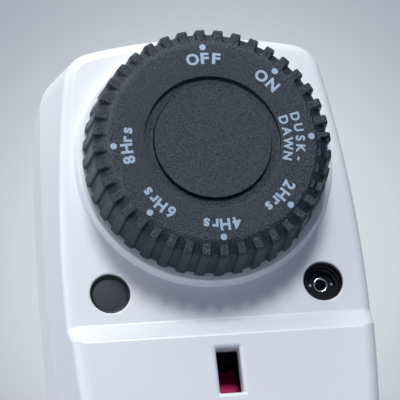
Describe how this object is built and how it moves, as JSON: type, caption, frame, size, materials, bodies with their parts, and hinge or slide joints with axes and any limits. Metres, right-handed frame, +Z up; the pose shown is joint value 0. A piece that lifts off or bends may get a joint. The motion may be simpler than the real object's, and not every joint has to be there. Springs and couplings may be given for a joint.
{
  "type": "plug-in timer switch",
  "caption": "White plug-in dusk-to-dawn timer switch with a ribbed dark dial, photocell window, sensor jack and shuttered socket outlet",
  "frame": {"origin": "middle of the plug's pin pattern on the face that meets the wall socket", "axes": "+X right seen from the front, +Y into the wall (the plug's pins point along +Y), +Z up the wall"},
  "size_m": [0.062, 0.068, 0.11],
  "materials": {
    "casing": "moulded, glossy, cool white",
    "dial": "fine spark-eroded texture, dark grey",
    "smoked": "smoked, polished",
    "sensor": "coated photocell face",
    "black_plastic": "moulded",
    "dark_plastic": "moulded, thermoset",
    "crimson": "moulded, dark crimson",
    "ivory_plastic": "moulded, unpigmented",
    "blue_plastic": "moulded or dipped",
    "yellow_plastic": "moulded box",
    "can": "shrink sleeve over an aluminium can",
    "board": "solder-resist over glass-fibre board",
    "nickel": "nickel plated, turned",
    "steel": "zinc plated",
    "brass": "bright, pressed and cut"
  },
  "bodies": {
    "casing": {"front_casing": "casing", "rear_casing": "casing", "sensor_window": "smoked", "light_sensor": "sensor", "jack_housing": "black_plastic", "jack_sleeve": "nickel", "jack_contacts": "nickel", "control_board": "board", "board_screws": "steel", "casing_screws": "steel", "switch_body": "black_plastic", "switch_cover": "steel", "switch_terminals": "brass", "detent_spring": "steel", "relay": "blue_plastic", "mains_capacitor": "yellow_plastic", "smoothing_capacitor": "can", "varistor": "blue_plastic", "timer_chip": "black_plastic", "earth_pin": "brass", "line_pin": "brass", "neutral_pin": "brass", "line_pin_sleeve": "black_plastic", "neutral_pin_sleeve": "black_plastic", "pin_retainer": "dark_plastic", "contact_carrier": "dark_plastic", "earth_contact": "brass", "line_contact": "brass", "neutral_contact": "brass", "line_link": "brass", "switched_link": "brass", "neutral_link": "brass", "shutter_spring": "steel"},
    "dial": {"dial_knob": "dial", "dial_cap": "dial", "dial_screw": "steel", "dial_shaft": "ivory_plastic", "wiper_contact": "brass"},
    "shutter": {"shutter": "crimson"}
  },
  "joints": [
    {"name": "dial_turn", "type": "hinge", "parent": "casing", "child": "dial", "pos_m": [0, -0.0353, 0.0537], "axis": [0, -1, 0], "range_deg": [0, 270]},
    {"name": "shutter_slide", "type": "slide", "parent": "casing", "child": "shutter", "axis": [0, 0, -1], "range_m": [0, 0.0065], "stiffness_N_per_m": 60, "springref_m": -0.004, "deforming": ["shutter_spring"]}
  ]
}
